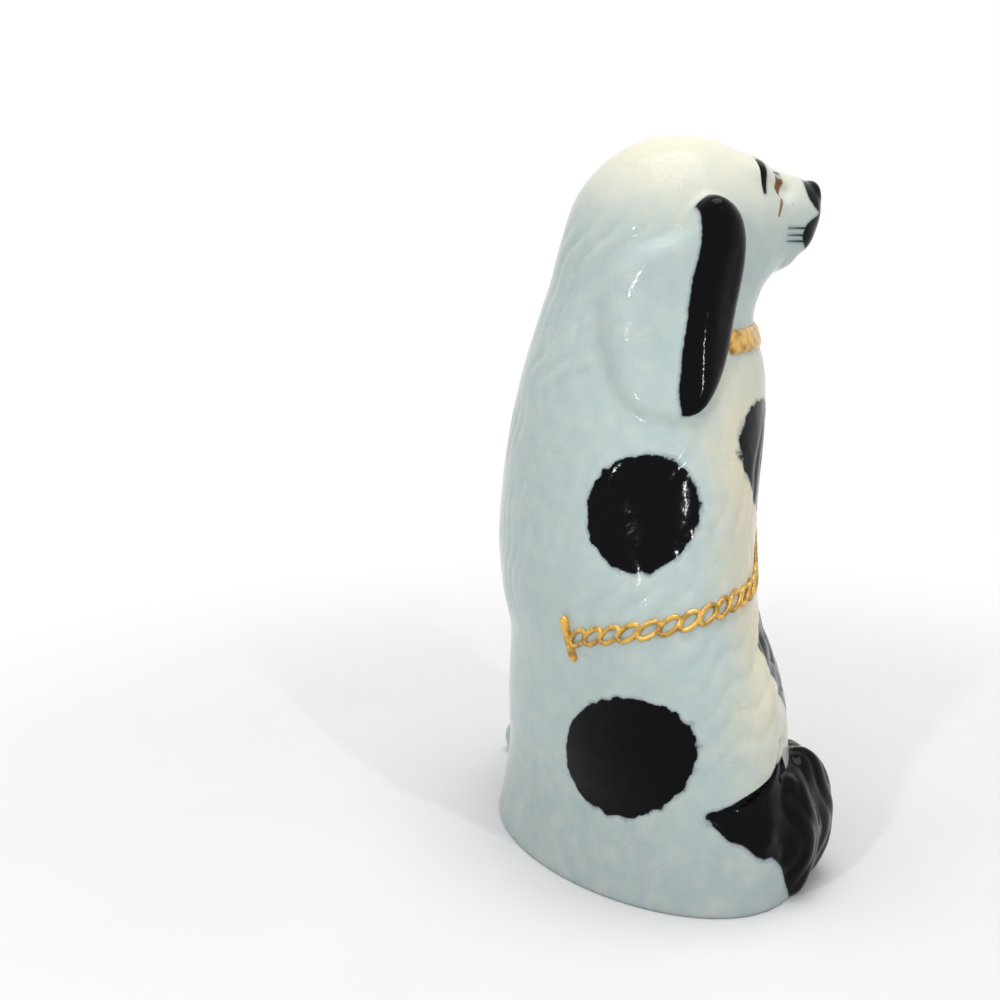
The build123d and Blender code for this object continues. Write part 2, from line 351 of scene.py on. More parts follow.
def inside_outline(u, v, corners):
    """Distance from a closed outline of straight runs, less than nothing inside."""
    nearest = np.full(np.broadcast(u, v).shape, 1e9)
    crossed = np.zeros(nearest.shape, dtype=bool)
    for (u0, v0), (u1, v1) in zip(corners, corners[1:] + corners[:1]):
        run_u = u1 - u0
        run_v = v1 - v0
        share = np.clip(((u - u0) * run_u + (v - v0) * run_v) / (run_u**2 + run_v**2), 0, 1)
        nearest = np.minimum(nearest, np.hypot(u - u0 - share * run_u, v - v0 - share * run_v))
        if v0 != v1:
            spans = (v0 > v) != (v1 > v)
            crossed ^= spans & (u < u0 + run_u * (v - v0) / (v1 - v0))
    return np.where(crossed, -nearest, nearest)


def ear(point):
    """Either ear: a flap over the skin, inside its outline."""
    x, y, z = point
    outline = inside_outline(y, z, ear_points)
    stripe = y - np.interp(z, *zip(*stripe_edge))
    roll = ear_roll * np.exp(-(((stripe + 10.0) / 8.0) ** 2))
    taper = ear_taper * np.clip((232.0 - z) / 36.0, 0.0, 1.0)
    return soft_max(skin(point) - ear_thickness - roll + taper, outline, 6.0)


def right_ear(point):
    """The ear at the spine end."""
    return soft_max(ear(point), point[0] - head_x + 10.0, 4.0)


def left_ear(point):
    """The ear at the chest end."""
    return soft_max(ear(point), head_x + 10.0 - point[0], 4.0)


# Tail
# A plume of the same clay that starts at the spine, lies round the corner of the foot and rises
# along the thigh. Its fur is cut in grooves, and it is enamelled black.
# Middle of each section, half thickness and half height
tail_sections = [
    ((-103.0, 16.5, 43.0), 1.6, 1.6),
    ((-101.2, 7.0, 40.0), 4.4, 7.0),
    ((-98.0, -3.0, 35.5), 7.5, 13.0),
    ((-87.0, -22.5, 24.5), 11.0, 25.5),
    ((-70.0, -35.0, 27.0), 13.5, 27.5),
    ((-50.0, -39.0, 24.0), 12.0, 26.0),
    ((-31.0, -39.0, 27.0), 7.0, 16.0),
]


def tail(point):
    """The plume, section by section."""
    x, y, z = point
    form = None
    for before, after in zip(tail_sections, tail_sections[1:]):
        (x0, y0, z0), thick0, high0 = before
        (x1, y1, z1), thick1, high1 = after
        length = (x1 - x0) ** 2 + (y1 - y0) ** 2
        share = np.clip(((x - x0) * (x1 - x0) + (y - y0) * (y1 - y0)) / length, 0, 1)
        aside = np.hypot(x - x0 - share * (x1 - x0), y - y0 - share * (y1 - y0))
        rise = z - z0 - share * (z1 - z0)
        thick = thick0 + share * (thick1 - thick0)
        high = high0 + share * (high1 - high0)
        roll = oval(aside, rise, thick, high)
        form = roll if form is None else soft_min(form, roll, 5.0)
    return form


# Luting and fettling
# The pieces are joined with slip, the joints are smoothed and the foot is rubbed flat. The
# joined skin is found on a grid of cells, in millimetres, and then parted again into the pieces.
MM = 0.001
cell = 1.6
slab_inset = 5.0
slab_top = 7.0
pieces_of_clay = {
    "right_foreleg": (right_foreleg, 7.0),
    "left_foreleg": (left_foreleg, 7.0),
    "right_ear": (right_ear, 2.5),
    "left_ear": (left_ear, 2.5),
    "tail": (tail, 2.0),
}


def figure(point):
    """The whole figure, with its foot rubbed flat and the space for the slab left open."""
    x, y, z = point
    form = body(point)
    for piece, fillet in pieces_of_clay.values():
        form = soft_min(form, piece(point), fillet)
    form = soft_max(form, -z, 1.8)
    recess = trunk_wall(x, y, z * 0.0, -slab_inset)
    return np.maximum(form, -np.maximum(recess, z - slab_top))


def skin_of_cells(form, low, high, size):
    """The surface of a form: one corner in each cell that the surface crosses, joined by quads."""
    axes = [np.arange(a - 2.5 * size, b + 3.0 * size, size) for a, b in zip(low, high)]
    values = form(np.meshgrid(*axes, indexing="ij", sparse=True))
    inside = values < 0
    shape = tuple(n - 1 for n in values.shape)
    total = np.zeros(shape + (3,))
    count = np.zeros(shape)
    ends = [(i, j, k) for i in (0, 1) for j in (0, 1) for k in (0, 1)]

    def corner(array, end):
        return array[tuple(slice(e, e + n) for e, n in zip(end, shape))]

    for start in ends:
        for axis in range(3):
            if start[axis]:
                continue
            end = tuple(1 if a == axis else s for a, s in enumerate(start))
            crossed = corner(inside, start) != corner(inside, end)
            first = corner(values, start)[crossed]
            second = corner(values, end)[crossed]
            spot = np.tile(np.array(start, dtype=float), (len(first), 1))
            spot[:, axis] = first / (first - second)
            total[crossed] += spot
            count[crossed] += 1
    used = count > 0
    number = np.full(shape, -1)
    number[used] = np.arange(used.sum())
    cells = np.argwhere(used)
    origin = np.array([axis[0] for axis in axes])
    corners = origin + size * (cells + total[used] / count[used][:, None])
    quads = []
    for axis in range(3):
        one, two = [a for a in range(3) if a != axis]
        step = np.eye(3, dtype=int)[axis]
        low_end = inside[tuple(slice(0, -1) if a == axis else slice(1, -1) for a in range(3))]
        high_end = inside[tuple(slice(1, None) if a == axis else slice(1, -1) for a in range(3))]
        edges = np.argwhere(low_end != high_end)
        leaves = low_end[tuple(edges.T)]
        edges = edges + 1 - step
        ring = []
        for back_one, back_two in ((1, 1), (0, 1), (0, 0), (1, 0)):
            shifted = edges.copy()
            shifted[:, one] -= back_one
            shifted[:, two] -= back_two
            ring.append(number[tuple(shifted.T)])
        faces = np.stack(ring, axis=1)
        outward = leaves if axis != 1 else ~leaves
        faces[~outward] = faces[~outward][:, ::-1]
        quads.append(faces)
    return corners, np.concatenate(quads)


def slope_of(form, points, step=0.25):
    """The direction in which a form's distance grows at each point."""
    slopes = []
    for axis in range(3):
        ahead = [p + step * (a == axis) for a, p in enumerate(points.T)]
        behind = [p - step * (a == axis) for a, p in enumerate(points.T)]
        slopes.append((form(ahead) - form(behind)) / (2 * step))
    return np.stack(slopes, axis=1)


def settle(form, points, rounds):
    """Points moved along the slope until they lie on the surface."""
    for _ in range(rounds):
        slope = slope_of(form, points)
        steep = np.maximum((slope**2).sum(axis=1), 0.05)
        move = -form(list(points.T))[:, None] * slope / steep[:, None]
        points = points + np.clip(move, -0.8, 0.8)
    return points


low_corner = [v / MM for v in cad_box[0]]
high_corner = [v / MM for v in cad_box[1]]
corners, quads = skin_of_cells(figure, low_corner, high_corner, cell)
corners = settle(figure, corners, 3)

whole = bmesh.new()
for spot in corners:
    whole.verts.new(spot)
whole.verts.ensure_lookup_table()
for quad in quads:
    whole.faces.new([whole.verts[i] for i in quad])
face_edges = [
    edge
    for edge in whole.edges
    if all(v.co.y < -26.0 and v.co.z > 238.0 for v in edge.verts)
]
bmesh.ops.subdivide_edges(whole, edges=face_edges, cuts=1, use_grid_fill=True)
whole.verts.index_update()
points = np.array([v.co for v in whole.verts])
faces = [[v.index for v in face.verts] for face in whole.faces]
whole.free()
points = settle(figure, points, 2)

# Fur
# The mould carries shallow locks of fur: the deepest behind the ears, others on the flanks, the
# breast and the legs, curls on the thigh and grooves on the tail. They are raised along the skin's
# own direction. Depth and width of the locks in each place, in degrees for the tail:
nape_locks = (1.5, 21.0)
flank_locks = (0.75, 10.5)
thigh_locks = (0.75, 11.0)
breast_locks = (0.80, 10.0)
tail_locks = (0.8, 14.0)
leg_locks = (0.5, 6.5)


def waves(values, lengths, starts):
    """A few sines added up, which wander without repeating over the figure."""
    return sum(np.sin(2 * np.pi * values / n + s) for n, s in zip(lengths, starts)) / len(lengths)


def band(values, low, high, soft):
    """One between two limits, fading to nothing outside them."""
    rise = np.clip((values - low) / soft + 0.5, 0, 1)
    fall = np.clip((high - values) / soft + 0.5, 0, 1)
    return rise * rise * (3 - 2 * rise) * fall * fall * (3 - 2 * fall)


def lock(across, width):
    """Rounded ridges with a narrow groove between each and the next."""
    return np.abs(np.cos(np.pi * across / width)) ** 0.7 - 0.62


def nearest_piece(point):
    """Number of the piece of clay that each point lies on, with the body as number 0."""
    distances = [body(point)] + [piece(point) for piece, fillet in pieces_of_clay.values()]
    return np.argmin(np.stack(distances), axis=0)


x, y, z = points.T
owner = nearest_piece(list(points.T))
names = ["body"] + list(pieces_of_clay)
middle_x = np.interp(z, trunk_heights, (trunk_columns[0] + trunk_columns[1]) / 2)
middle_y = np.interp(z, trunk_heights, (trunk_columns[2] + trunk_columns[3]) / 2)
around = 62.0 * np.arctan2(y - middle_y, middle_x - x)
on_body = owner == 0
ear_shade = np.clip((inside_outline(y, z, ear_points) - 1.0) / 5.0, 0, 1)
wander = around + 5.0 * waves(z, (43.0, 27.0), (0.4, 1.9))
clumps = np.clip(0.55 + 0.9 * waves(z + 0.7 * around, (61.0, 37.0), (0.2, 2.1)), 0, 1)
nape = band(z, 205.0, 272.0, 26.0) * band(around, 12.0, 95.0, 26.0) * ear_shade
flank = band(z, 95.0, 205.0, 30.0) * band(around, -120.0, 120.0, 40.0)
thigh = band(z, 64.0, 122.0, 16.0) * band(around, -64.0, 6.0, 14.0)
breast = band(z, 120.0, 232.0, 30.0) * band(x, -18.0, 70.0, 24.0) * (y < middle_y)
relief = nape_locks[0] * nape * lock(wander + 0.7 * z + 4.0 * waves(z, (71.0,), (1.3,)), nape_locks[1])
relief += flank_locks[0] * flank * clumps * lock(wander + 0.25 * z, flank_locks[1])
curl = z + 0.012 * (around + 40.0) ** 2 + 3.0 * waves(around, (23.0, 15.0), (0.7, 2.0))
relief += thigh_locks[0] * thigh * lock(curl, thigh_locks[1])
strand = x + 4.0 * waves(z, (31.0, 19.0), (0.0, 1.0))
relief += breast_locks[0] * breast * lock(strand, breast_locks[1])
relief = np.where(on_body, relief, 0.0)
tail_run = np.degrees(np.arctan2(y + 14.0, x + 58.0))
tail_run = tail_run % 360.0 + 7.0 * waves(z, (37.0,), (0.5,))
on_tail = owner == names.index("tail")
relief += np.where(on_tail, tail_locks[0] * lock(tail_run, tail_locks[1]) - 0.3, 0.0)
on_legs = (owner == names.index("right_foreleg")) | (owner == names.index("left_foreleg"))
feathers = band(z, 24.0, 110.0, 24.0) * lock(y + 3.0 * waves(z, (29.0,), (0.0,)), leg_locks[1])
relief += np.where(on_legs, leg_locks[0] * feathers, 0.0)
relief *= np.clip(z / 8.0, 0, 1)

normals = slope_of(figure, points)
normals /= np.linalg.norm(normals, axis=1)[:, None]
points = points + relief[:, None] * normals
points[:, 2] = np.maximum(points[:, 2], 0.0)
points = np.clip(points, low_corner, high_corner)

# Enamel
# Black is sponged on in round spots and brushed on the ears, the tail, the nose and the lips.
# Each kind of edge is kept on the skin as a distance, less than nothing under the enamel.
# Middle of each spot, the direction that it runs in, its half length, half height and rise
spots = [
    ((-65.1, 34.8, 158.9), (-0.45, -0.89), 22.8, 22.1, 0.05),
    ((-77.2, 44.3, 61.8), (-0.80, -0.60), 32.0, 26.5, 0.245),
    ((-33.0, -28.0, 172.0), (1.0, 0.0), 24.0, 25.0, 0.0),
    ((-50.0, -33.0, 86.0), (1.0, 0.0), 30.0, 25.0, -0.2),
]
nose_paint = ((head_x, -75.0, 279.0), (20.0, 18.0, 9.8))
cleft_paint = ((head_x, -76.0, 271.0), (15.0, 14.0, 13.0))
lip_paint = ((head_x, -73.0, 263.0), (26.0, 20.0, 9.5))


def sponged(point):
    """Distance from the edge of the nearest spot, each on its own side of the body."""
    x, y, z = point
    edges = []
    for (middle_x, middle_y, middle_z), (run_x, run_y), length, height, rise in spots:
        along = (x - middle_x) * run_x + (y - middle_y) * run_y
        outward = (x - middle_x) * run_y - (y - middle_y) * run_x
        edge = oval(along, z - middle_z - rise * along, length, height)
        edges.append(np.maximum(edge, -30.0 - outward))
    return np.min(edges, axis=0)


def brushed(point):
    """Distance from the edge of the brushed enamel."""
    x, y, z = point
    stripe = np.interp(z, *zip(*stripe_edge))
    flap = np.maximum(y - stripe, inside_outline(y, z, ear_points) - 1.5)
    beside_head = 14.0 - np.abs(x - head_x)
    on_ear = np.maximum(np.maximum(flap, beside_head), skin(point) * -1.0 + 3.0)
    on_plume = tail(point) - np.minimum(body(point), 3.0) - 1.2
    upper_edge = np.interp(y, *zip((-28.0, 42.0), *thigh_edge, (22.0, 30.0)))
    between = np.maximum(z + 0.6 - upper_edge, 36.8 + 0.4 * y - z)
    at_root = np.max([tail(point) - 9.0, between, x + 60.0], axis=0)
    face = [ellipsoid(point, *paint) for paint in (nose_paint, cleft_paint, lip_paint)]
    return np.min([on_ear, on_plume, at_root] + face, axis=0)


paint_of = {
    "sponged": sponged(list(points.T)),
    "brushed": brushed(list(points.T)),
    "relief": relief,
}


def main_owner(face):
    """The piece that most corners of a face lie on."""
    owners = [owner[i] for i in face]
    return min(owners, key=lambda piece: (-owners.count(piece), piece))


def patches():
    """The piece that each face lies on, each piece as one unbroken patch of skin."""
    labels = [main_owner(face) for face in faces]
    beside = {}
    for number, face in enumerate(faces):
        for start, end in zip(face, face[1:] + face[:1]):
            beside.setdefault((min(start, end), max(start, end)), []).append(number)
    around_face = [[] for _ in faces]
    for pair in beside.values():
        for number in pair:
            around_face[number].extend(n for n in pair if n != number)
    found = {}
    seen = set()
    for first in range(len(faces)):
        if first in seen:
            continue
        seen.add(first)
        patch = [first]
        for number in patch:
            for other in around_face[number]:
                if other not in seen and labels[other] == labels[first]:
                    seen.add(other)
                    patch.append(other)
        found.setdefault(labels[first], []).append(patch)
    for label, parts in found.items():
        for patch in sorted(parts, key=len)[:-1]:
            inside = set(patch)
            rim = [labels[n] for number in patch for n in around_face[number] if n not in inside]
            for number in patch:
                labels[number] = max(set(rim), key=rim.count)
    return labels


def parted(name, member, nodes):
    """One piece of clay: its share of the joined skin, with each open edge closed inside."""
    own = [face for face, patch in zip(faces, patches_of_skin) if patch == member]
    used = sorted({i for face in own for i in face})
    place = {i: n for n, i in enumerate(used)}
    own = [[place[i] for i in face] for face in own]
    edges = {edge for face in own for edge in zip(face, face[1:] + face[:1])}
    open_edges = {}
    for start, end in edges:
        if (end, start) not in edges:
            open_edges.setdefault(end, []).append(start)
    spots_of_piece = points[used]
    facing = normals_of_skin[used]
    caps = []
    centres = []
    while open_edges:
        loop = [min(open_edges)]
        while True:
            after = open_edges[loop[-1]].pop()
            if not open_edges[loop[-1]]:
                del open_edges[loop[-1]]
            if after == loop[0]:
                break
            loop.append(after)
        number = len(used) + len(centres)
        centres.append(spots_of_piece[loop].mean(axis=0))
        caps += [[a, b, number] for a, b in zip(loop, loop[1:] + loop[:1])]
    everything = np.vstack([spots_of_piece] + [c[None] for c in centres])
    mesh = bpy.data.meshes.new(name)
    mesh.from_pydata(everything * MM, [], own + caps)
    for label, values in paint_of.items():
        layer = mesh.attributes.new(label, "FLOAT", "POINT")
        padded = np.concatenate([values[used], np.full(len(centres), 5.0)])
        layer.data.foreach_set("value", padded.astype(np.float32))
    for polygon in mesh.polygons:
        polygon.use_smooth = True
    directions = np.vstack([facing] + [np.array([[0.0, 0.0, 1.0]])] * len(centres))
    mesh.normals_split_custom_set_from_vertices(directions)
    piece = bpy.data.objects.new(name, mesh)
    bpy.context.scene.collection.objects.link(piece)
    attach(piece, "root")
    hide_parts(*nodes)
    return piece


patches_of_skin = patches()
joined = bpy.data.meshes.new("joined")
joined.from_pydata(points, [], faces)
normals_of_skin = np.array([v.vector for v in joined.vertex_normals])
bpy.data.meshes.remove(joined)

# Glaze
# A clear lead glaze, blue-green white that is partly its own tint where it is thick and partly
# painted cool light, and cream in random mottles where the light clay shows through. Painted
# light and shade lie on it too: painted warm light on the top of the head and on the display side,
# and painted shade that greys the body towards the foot.
# It is crazed all over, with a few kiln specks, and it covers the black enamel too.


class Signal:
    """A socket of a material, so that sums of sockets read as sums."""

    def __init__(self, tree, socket=None):
        self.tree = tree
        self.socket = socket

    def node(self, kind, settings=None, inputs=None, output=0):
        """Adds a node, sets it up, feeds its sockets and gives one of its outputs."""
        made = self.tree.nodes.new(kind)
        for name, value in (settings or {}).items():
            setattr(made, name, value)
        for name, value in (inputs or {}).items():
            if isinstance(value, Signal):
                self.tree.links.new(value.socket, made.inputs[name])
            else:
                made.inputs[name].default_value = value
        return made if output is None else Signal(self.tree, made.outputs[output])

    def sum_of(self, operation, first, second=0.0):
        return self.node("ShaderNodeMath", {"operation": operation}, {0: first, 1: second})

    def __add__(self, other):
        return self.sum_of("ADD", self, other)

    __radd__ = __add__

    def __sub__(self, other):
        return self.sum_of("SUBTRACT", self, other)

    def __rsub__(self, other):
        return self.sum_of("SUBTRACT", other, self)

    def __mul__(self, other):
        return self.sum_of("MULTIPLY", self, other)

    __rmul__ = __mul__

    def __truediv__(self, other):
        return self.sum_of("DIVIDE", self, other)

    def __abs__(self):
        return self.sum_of("ABSOLUTE", self)

    def least(self, other):
        return self.sum_of("MINIMUM", self, other)

    def most(self, other):
        return self.sum_of("MAXIMUM", self, other)

    def power(self, other):
        return self.sum_of("POWER", self, other)

    def fade(self, start, end):
        """Nought before start, one after end, and smooth between them."""
        limits = {"Value": self, "From Min": start, "From Max": end}
        return self.node("ShaderNodeMapRange", {"interpolation_type": "SMOOTHSTEP"}, limits)

    def blend(self, first, second):
        """The first colour turned to the second where this is one."""
        settings = {"data_type": "RGBA"}
        return self.node("ShaderNodeMix", settings, {0: self, 6: first, 7: second}, 2)


def noise(coordinates, scale, detail, roughness=0.5):
    """Smooth noise around a half, at so many lumps to the metre."""
    inputs = {"Vector": coordinates, "Scale": scale, "Detail": detail, "Roughness": roughness}
    return coordinates.node("ShaderNodeTexNoise", None, inputs, "Fac")


def cells(coordinates, scale, feature, output):
    """Distances in a pattern of cells, at so many cells to the metre."""
    inputs = {"Vector": coordinates, "Scale": scale}
    return coordinates.node("ShaderNodeTexVoronoi", {"feature": feature}, inputs, output)


def finish_of(material):
    """The material's own shader, ready for its sockets to be fed."""
    return material.node_tree.nodes["Principled BSDF"]


def feed(material, **sockets):
    """Feeds the shader's sockets, by names with an underline for each space."""
    shader = finish_of(material)
    for name, value in sockets.items():
        socket = shader.inputs[name.replace("_", " ")]
        if isinstance(value, Signal):
            material.node_tree.links.new(value.socket, socket)
        else:
            socket.default_value = value


def new_material(name):
    material = bpy.data.materials.new(name)
    material.use_nodes = True
    return material, Signal(material.node_tree)


# The blue-green white is partly the glaze's own tint and partly painted cool light.
blue_green_tint_and_light = (0.47, 0.58, 0.585, 1.0)
# Cream is both a random tone of the glaze and painted warm light on the top of the head.
cream_tone_and_top_light = (0.85, 0.80, 0.62, 1.0)
# Painted shade low on the body.
grey_shade = (0.38, 0.45, 0.47, 1.0)
# Painted warm light on the display side.
warm_side_light = (0.80, 0.71, 0.50, 1.0)
craze_brown = (0.34, 0.33, 0.28, 1.0)
deep_black = (0.0012, 0.0013, 0.0022, 1.0)
thin_black = (0.018, 0.015, 0.010, 1.0)
fringe_blue = (0.20, 0.26, 0.30, 1.0)
ochre = (0.24, 0.125, 0.045, 1.0)

glaze, start = new_material("painted_glaze")
place = start.node("ShaderNodeTexCoord", output="Object")
sides = [start.node("ShaderNodeSeparateXYZ", None, {0: place}, axis) * 1000.0 for axis in range(3)]
side_x, side_y, side_z = sides
spread = noise(place, 38.0, 3.0)
mottle = noise(place, 120.0, 2.0)
drift = (spread - 0.5) * 60.0
# Painted light: the top of the head turns cream, as warm light falling from above.
painted_top_light = (side_z + drift * 0.5).fade(250.0, 318.0)
# Painted light: the display side, between the foot and the neck, turns warm as light falls on it.
display = (drift * 0.4 - side_y).fade(-18.0, 12.0)
display = display * side_z.fade(0.0, 120.0) * side_z.fade(250.0, 170.0)
white = painted_top_light.blend(blue_green_tint_and_light, cream_tone_and_top_light)
white = (display * 0.80).blend(white, warm_side_light)
# Painted shade: the body turns grey towards the foot.
white = ((80.0 - side_z + drift * 0.5).fade(0.0, 80.0) * 0.7).blend(white, grey_shade)
white = ((mottle - 0.5) * 0.5 + 0.10).blend(white, cream_tone_and_top_light)
craze = cells(place, 150.0, "DISTANCE_TO_EDGE", "Distance").fade(0.035, 0.0)
craze = craze * spread.fade(0.42, 0.62)
white = (craze * 0.20).blend(white, craze_brown)
specks = cells(place, 46.0, "F1", "Distance")
white = (specks.fade(0.055, 0.03) * mottle.fade(0.56, 0.66) * 0.8).blend(white, thin_black)


def layer_of(name):
    """A distance that is kept on the skin."""
    return start.node("ShaderNodeAttribute", {"attribute_name": name}, None, "Fac")


scallop = (cells(place, 210.0, "SMOOTH_F1", "Distance") - 0.35) * 3.4
fine = (noise(place, 900.0, 2.0) - 0.5) * 1.2
sponge_edge = layer_of("sponged") + scallop + fine
brush_edge = layer_of("brushed") + (noise(place, 260.0, 2.0) - 0.5) * 1.2
edge = sponge_edge.least(brush_edge)
ridge = layer_of("relief")
thin = (noise(place, 75.0, 4.0) - 0.5 + ridge * 0.25).fade(0.05, 0.45) * side_z.fade(70.0, 55.0)
black = thin.blend(deep_black, thin_black)
from_middle = abs(side_x - head_x)
on_face = side_y.fade(-30.0, -34.0) * side_z.fade(244.0, 248.0)


def dab(u, v, middle, radii):
    """Distance from the edge of a round dab of the brush."""
    reach = ((u - middle[0]) / radii[0]).power(2.0) + ((v - middle[1]) / radii[1]).power(2.0)
    return (reach.power(0.5) - 1.0) * min(radii)


def stroke(u, v, first, last, half_width):
    """Distance from a brush stroke that thins towards its end."""
    run = (last[0] - first[0], last[1] - first[1])
    along = (u - first[0]) * run[0] + (v - first[1]) * run[1]
    along = (along / (run[0] ** 2 + run[1] ** 2)).most(0.0).least(1.0)
    aside = (u - first[0] - along * run[0]).power(2.0) + (v - first[1] - along * run[1]).power(2.0)
    return aside.power(0.5) - half_width * (1.0 - 0.6 * along)


eye_middle = (14.5, 285.5)
before_muzzle = -50.0 - side_y
pupil = dab(from_middle, side_z, eye_middle, (2.6, 2.9)).most(before_muzzle)
iris = dab(from_middle, side_z, eye_middle, (4.1, 4.3)).most(before_muzzle).most(from_middle - 18.0)
lid = abs(dab(from_middle, side_z, (14.5, 285.0), (6.6, 5.6))) - 0.55
lid = lid.most(284.0 - side_z).most(before_muzzle).most(from_middle - 18.0)
corner = stroke(side_y, side_z, (-35.0, 292.4), (-35.4, 281.5), 2.7).most(14.0 - from_middle)
whiskers = [
    stroke(side_y, side_z, (-63.0, height), (-50.0, height + 0.5), 0.75).most(4.0 - from_middle)
    for height in (265.4, 262.4, 259.8)
]
lashes = pupil.least(lid).least(corner)
for whisker in whiskers:
    lashes = lashes.least(whisker)
crease = stroke(side_y, side_z, (-49.8, 285.0), (-43.0, 271.5), 1.5).most(6.0 - from_middle)
browned = iris.least(crease)
edge = edge.least(lashes + (1.0 - on_face) * 50.0)
fringe = edge.fade(1.6, -0.2)
covered = edge.fade(0.25, -0.55)
colour = (browned.fade(0.4, -0.4) * on_face).blend(white, ochre)
colour = (fringe * 0.55).blend(colour, fringe_blue)
colour = covered.blend(colour, black)
ripple = noise(place, 95.0, 2.0) * 0.8 + noise(place, 420.0, 2.0) * 0.12
bump = start.node("ShaderNodeBump", None, {"Strength": 0.35, "Distance": 0.0012, "Height": ripple})
# The index is lower than a real glaze has, so that the black stays deep in a white room
feed(
    glaze,
    Base_Color=colour,
    Roughness=0.06 + mottle * 0.08,
    IOR=1.18,
    Normal=bump,
)

kinds = {
    "body": ("display_half", "back_half"),
    "right_foreleg": ("right_foreleg",),
    "left_foreleg": ("left_foreleg",),
    "right_ear": ("right_ear",),
    "left_ear": ("left_ear",),
    "tail": ("tail",),
}
for number, (name, nodes) in enumerate(kinds.items()):
    piece = parted("clay_" + name, number, nodes)
    piece.data.materials.append(glaze)

# Collar
# A raised band across the throat, from ear to ear, under burnished gold. It is modelled in the
# mould, so it follows the neck and has soft edges.
collar_z = 221.0
collar_height = 9.0
collar_angles = (-143.0, -12.0)
ring_x = 2.0
ring_y = 18.0


def on_skin(angles, heights):
    """Points of the body at angles round an upright axis, and the outward directions there."""
    run_x = np.cos(np.radians(angles))
    run_y = np.sin(np.radians(angles))
    near = np.full(len(angles), 10.0)
    far = np.full(len(angles), 130.0)
    for _ in range(24):
        reach = (near + far) / 2
        spots = [ring_x + reach * run_x, ring_y + reach * run_y, heights]
        outside = body(spots) > 0
        far = np.where(outside, reach, far)
        near = np.where(outside, near, reach)
    spots = np.stack(spots, axis=1)
    outward = slope_of(body, spots, 1.5)
    return spots, outward / np.linalg.norm(outward, axis=1)[:, None]


def gilt_piece(name, spots, rings, node):
    """A closed piece under gold: rows of points, each row a ring, joined row to row and capped."""
    count = len(spots) // rings
    faces = []
    for row in range(count - 1):
        for step in range(rings):
            after = (step + 1) % rings
            here = row * rings
            faces.append((here + step, here + after, here + rings + after, here + rings + step))
    faces.append(tuple(range(rings))[::-1])
    faces.append(tuple(range((count - 1) * rings, count * rings)))
    mesh = bpy.data.meshes.new(name)
    mesh.from_pydata(np.array(spots) * MM, [], faces)
    shaped = bmesh.new()
    shaped.from_mesh(mesh)
    bmesh.ops.recalc_face_normals(shaped, faces=shaped.faces)
    shaped.to_mesh(mesh)
    shaped.free()
    for polygon in mesh.polygons:
        polygon.use_smooth = True
    piece = bpy.data.objects.new(name, mesh)
    bpy.context.scene.collection.objects.link(piece)
    mesh.materials.append(gilding)
    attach(piece, "root")
    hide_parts(node)


gold_bright = (0.78, 0.47, 0.09, 1.0)
gold_dark = (0.40, 0.215, 0.035, 1.0)
gold_worn = (0.80, 0.74, 0.56, 1.0)
gilding, start = new_material("burnished_gilding")
place = start.node("ShaderNodeTexCoord", output="Object")
worn = noise(place, 240.0, 3.0)
strokes = noise(place, 210.0, 2.0)
colour = strokes.fade(0.34, 0.60).blend(gold_dark, gold_bright)
colour = (worn.fade(0.62, 0.72) * 0.6).blend(colour, gold_worn)
bump = start.node("ShaderNodeBump", None, {"Strength": 0.4, "Distance": 0.0003, "Height": strokes})
feed(
    gilding,
    Base_Color=colour,
    Roughness=0.16 + worn * 0.2,
    Metallic=0.55 - worn * 0.5,
    Normal=bump,
)

# Height and relief of the band's section, from its lower edge round to its inside
band_section = [
    (-0.5, -1.2),
    (-0.5, 0.9),
    (-0.38, 1.8),
    (0.0, 2.2),
    (0.38, 1.8),
    (0.5, 0.9),
    (0.5, -1.2),
]
band_steps = 90
band_spots = []
for angle in np.linspace(*collar_angles, band_steps):
    heights = np.array([collar_z + share * collar_height for share, relief in band_section])
    spots, outward = on_skin(np.full(len(heights), angle), heights)
    lift = np.array([relief for share, relief in band_section])
    band_spots.extend(spots + lift[:, None] * outward)
gilt_piece("gilt_collar", band_spots, len(band_section), "collar")

# Padlock
# A small lock that hangs from the collar under the chin. It is a rounded cushion of clay, raised
# in the mould with the collar, and it is gilt all over.
padlock_angle = -77.0
padlock_width = 15.0
padlock_height = 13.0
padlock_squareness = 4.0
padlock_z = collar_z - collar_height / 2 - padlock_height / 2
# Share of the half size and relief, from the skin up over the edge to the middle of the face
cushion_rings = [
    (1.0, -2.0),
    (1.0, 1.6),
    (0.97, 2.6),
    (0.88, 3.4),
    (0.72, 3.75),
    (0.4, 3.95),
    (0.05, 4.0),
]
lock_spot, lock_out = on_skin(np.array([padlock_angle]), np.array([padlock_z]))
lock_out = Vector(lock_out[0])
lock_across = Vector((0, 0, 1)).cross(lock_out).normalized()
lock_up = lock_out.cross(lock_across)
lock_spots = []
lock_steps = 36
for share, relief in cushion_rings:
    for step in range(lock_steps):
        turn = 2 * math.pi * step / lock_steps
        cosine = math.cos(turn)
        sine = math.sin(turn)
        corner = abs(cosine) ** padlock_squareness + abs(sine) ** padlock_squareness
        reach = share * corner ** (-1 / padlock_squareness)
        aside = reach * cosine * padlock_width / 2
        above = reach * sine * padlock_height / 2
        spot = Vector(lock_spot[0]) + lock_across * aside + lock_up * above
        lock_spots.append(spot + lock_out * relief)
gilt_piece("gilt_padlock", lock_spots, lock_steps, "padlock")

